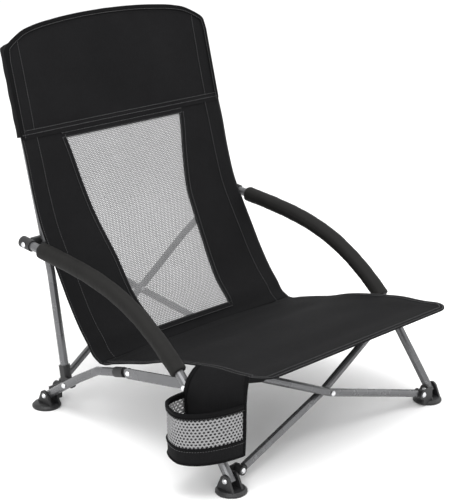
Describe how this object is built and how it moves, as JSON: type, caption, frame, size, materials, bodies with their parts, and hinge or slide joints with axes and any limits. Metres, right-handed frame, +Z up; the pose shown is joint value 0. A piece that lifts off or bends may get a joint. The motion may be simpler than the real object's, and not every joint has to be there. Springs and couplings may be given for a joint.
{
  "type": "folding camp chair",
  "caption": "Low folding camp chair with a cloth sling seat and back, a mesh back panel, padded arms, crossed steel tubes and a side cup holder.",
  "frame": {"origin": "on the floor, midway between the front and rear foot pivots, on the middle plane between the right and left halves", "axes": "+Z up, -Y to the front (the way the sitter faces), -X to the sitter's right, where the cup holder hangs"},
  "size_m": [0.6188, 0.6334, 0.6774],
  "materials": {
    "tube": "satin silver-grey powder coat",
    "rivet": "bright zinc",
    "plastic": "moulded, matt",
    "foam": "closed-cell foam, matt",
    "cloth": "plain-weave polyester",
    "netting": "open knitted mesh"
  },
  "bodies": {
    "rear_foot_right": {"rear_foot_right": "plastic", "rail_foot_rivet_right": "rivet", "rear_cross_rivet_right": "rivet"},
    "rear_cross_right": {"rear_cross_tube_right": "tube", "rear_cross_low_end_right": "plastic", "rear_cross_top_end_right": "plastic", "rear_centre_rivet": "rivet"},
    "rear_rail_right": {"rear_rail_right": "tube", "rail_end_sleeve_right": "plastic"},
    "upright_right": {"upright_right": "tube", "upright_shoe_right": "plastic", "shoe_rivet_right": "rivet", "head_panel": "cloth", "back_panel": "cloth", "mesh_panel": "netting"},
    "slider_right": {"slider_right": "plastic"},
    "link_right": {"link_bar_right": "tube", "link_rear_rivet_right": "rivet", "link_front_rivet_right": "rivet"},
    "arm_leg_right": {"leg_tube_right": "tube", "arm_grip_right": "foam", "arm_end_plug_right": "plastic", "arm_rivet_right": "rivet"},
    "front_foot_right": {"front_foot_right": "plastic", "leg_foot_rivet_right": "rivet", "front_cross_rivet_right": "rivet"},
    "front_cross_right": {"front_cross_tube_right": "tube", "front_cross_end_right": "plastic"},
    "rear_foot_left": {"rear_foot_left": "plastic", "rail_foot_rivet_left": "rivet", "rear_cross_rivet_left": "rivet"},
    "rear_cross_left": {"rear_cross_tube_left": "tube", "rear_cross_low_end_left": "plastic", "rear_cross_top_end_left": "plastic"},
    "rear_rail_left": {"rear_rail_left": "tube", "rail_end_sleeve_left": "plastic"},
    "upright_left": {"upright_left": "tube", "upright_shoe_left": "plastic", "shoe_rivet_left": "rivet"},
    "slider_left": {"slider_left": "plastic"},
    "link_left": {"link_bar_left": "tube", "link_rear_rivet_left": "rivet", "link_front_rivet_left": "rivet"},
    "arm_leg_left": {"leg_tube_left": "tube", "arm_grip_left": "foam", "arm_end_plug_left": "plastic", "arm_rivet_left": "rivet"},
    "front_foot_left": {"front_foot_left": "plastic", "leg_foot_rivet_left": "rivet", "front_cross_rivet_left": "rivet"},
    "front_cross_left": {"front_cross_tube_left": "tube", "front_cross_end_left": "plastic", "front_centre_rivet": "rivet"},
    "seat": {"seat_panel": "cloth", "cup_backing": "cloth", "cup_rim": "cloth", "cup_mesh_wall": "netting", "cup_base": "cloth"}
  },
  "joints": [
    {"name": "fold", "type": "hinge", "parent": "rear_foot_right", "child": "rear_cross_right", "pos_m": [-0.206, 0.2527, 0.024], "axis": [0, -1, 0], "range_deg": [0, 50.25], "deforming": ["head_panel", "back_panel", "mesh_panel", "seat_panel", "cup_backing", "cup_rim", "cup_mesh_wall", "cup_base"]},
    {"name": "rear_scissor", "type": "hinge", "parent": "rear_cross_right", "child": "rear_cross_left", "pos_m": [0, 0.2595, 0.16101], "axis": [0, -1, 0], "range_deg": [-100.79, 0]},
    {"name": "rear_foot_left_turn", "type": "hinge", "parent": "rear_cross_left", "child": "rear_foot_left", "pos_m": [0.206, 0.2663, 0.024], "axis": [0, -1, 0], "range_deg": [0, 50.54]},
    {"name": "rear_rail_right_turn", "type": "hinge", "parent": "rear_foot_right", "child": "rear_rail_right", "pos_m": [-0.242, 0.2345, 0.023], "axis": [1, 0, 0], "range_deg": [-41.67, 0]},
    {"name": "upright_right_turn", "type": "hinge", "parent": "rear_rail_right", "child": "upright_right", "pos_m": [-0.242, 0.18352, 0.05601], "axis": [1, 0, 0], "range_deg": [0, 52.3]},
    {"name": "slider_right_slide", "type": "slide", "parent": "upright_right", "child": "slider_right", "axis": [0, 0.249, 0.9685], "range_m": [0, 0.1803]},
    {"name": "link_right_turn", "type": "hinge", "parent": "rear_rail_right", "child": "link_right", "pos_m": [-0.2478, 0.01351, 0.12799], "axis": [1, 0, 0], "range_deg": [0, 75.34]},
    {"name": "arm_right_turn", "type": "hinge", "parent": "link_right", "child": "arm_leg_right", "pos_m": [-0.258, -0.1385, 0.15199], "axis": [1, 0, 0], "range_deg": [-2.43, 0]},
    {"name": "front_foot_right_turn", "type": "hinge", "parent": "arm_leg_right", "child": "front_foot_right", "pos_m": [-0.258, -0.2345, 0.023], "axis": [1, 0, 0], "range_deg": [-31.82, 0]},
    {"name": "front_cross_right_turn", "type": "hinge", "parent": "front_foot_right", "child": "front_cross_right", "pos_m": [-0.224, -0.2242, 0.024], "axis": [0, -1, 0], "range_deg": [0, 63.19]},
    {"name": "rear_rail_left_turn", "type": "hinge", "parent": "rear_foot_left", "child": "rear_rail_left", "pos_m": [0.242, 0.2345, 0.023], "axis": [1, 0, 0], "range_deg": [-41.67, 0]},
    {"name": "upright_left_turn", "type": "hinge", "parent": "rear_rail_left", "child": "upright_left", "pos_m": [0.242, 0.18352, 0.05601], "axis": [1, 0, 0], "range_deg": [0, 52.3]},
    {"name": "slider_left_slide", "type": "slide", "parent": "upright_left", "child": "slider_left", "axis": [0, 0.249, 0.9685], "range_m": [0, 0.1803]},
    {"name": "link_left_turn", "type": "hinge", "parent": "rear_rail_left", "child": "link_left", "pos_m": [0.2478, 0.01351, 0.12799], "axis": [1, 0, 0], "range_deg": [0, 75.34]},
    {"name": "arm_left_turn", "type": "hinge", "parent": "link_left", "child": "arm_leg_left", "pos_m": [0.258, -0.1385, 0.15199], "axis": [1, 0, 0], "range_deg": [-2.43, 0]},
    {"name": "front_foot_left_turn", "type": "hinge", "parent": "arm_leg_left", "child": "front_foot_left", "pos_m": [0.258, -0.2345, 0.023], "axis": [1, 0, 0], "range_deg": [-31.82, 0]},
    {"name": "front_cross_left_turn", "type": "hinge", "parent": "front_foot_left", "child": "front_cross_left", "pos_m": [0.224, -0.2388, 0.024], "axis": [0, 1, 0], "range_deg": [0, 63.19]},
    {"name": "seat_turn", "type": "hinge", "parent": "upright_right", "child": "seat", "pos_m": [0, 0.09352, 0.12105], "axis": [1, 0, 0], "range_deg": [-74.46, 0]}
  ],
  "couplings": [
    {"joint": "rear_scissor", "follows": "fold", "ratio": -2},
    {"joint": "rear_foot_left_turn", "follows": "fold", "ratio": 1},
    {"joint": "rear_rail_right_turn", "follows": "fold", "ratio": -0.82344},
    {"joint": "upright_right_turn", "follows": "fold", "ratio": 1.0348},
    {"joint": "slider_right_slide", "follows": "fold", "m_per_rad": 0.20508},
    {"joint": "link_right_turn", "follows": "fold", "ratio": 1.4934},
    {"joint": "arm_right_turn", "follows": "fold", "ratio": -0.042489},
    {"joint": "front_foot_right_turn", "follows": "fold", "ratio": -0.62746},
    {"joint": "front_cross_right_turn", "follows": "fold", "ratio": 1.2517},
    {"joint": "rear_rail_left_turn", "follows": "fold", "ratio": -0.82344},
    {"joint": "upright_left_turn", "follows": "fold", "ratio": 1.0348},
    {"joint": "slider_left_slide", "follows": "fold", "m_per_rad": 0.20508},
    {"joint": "link_left_turn", "follows": "fold", "ratio": 1.4934},
    {"joint": "arm_left_turn", "follows": "fold", "ratio": -0.042489},
    {"joint": "front_foot_left_turn", "follows": "fold", "ratio": -0.62746},
    {"joint": "front_cross_left_turn", "follows": "fold", "ratio": 1.2517},
    {"joint": "seat_turn", "follows": "fold", "ratio": -1.4759}
  ]
}
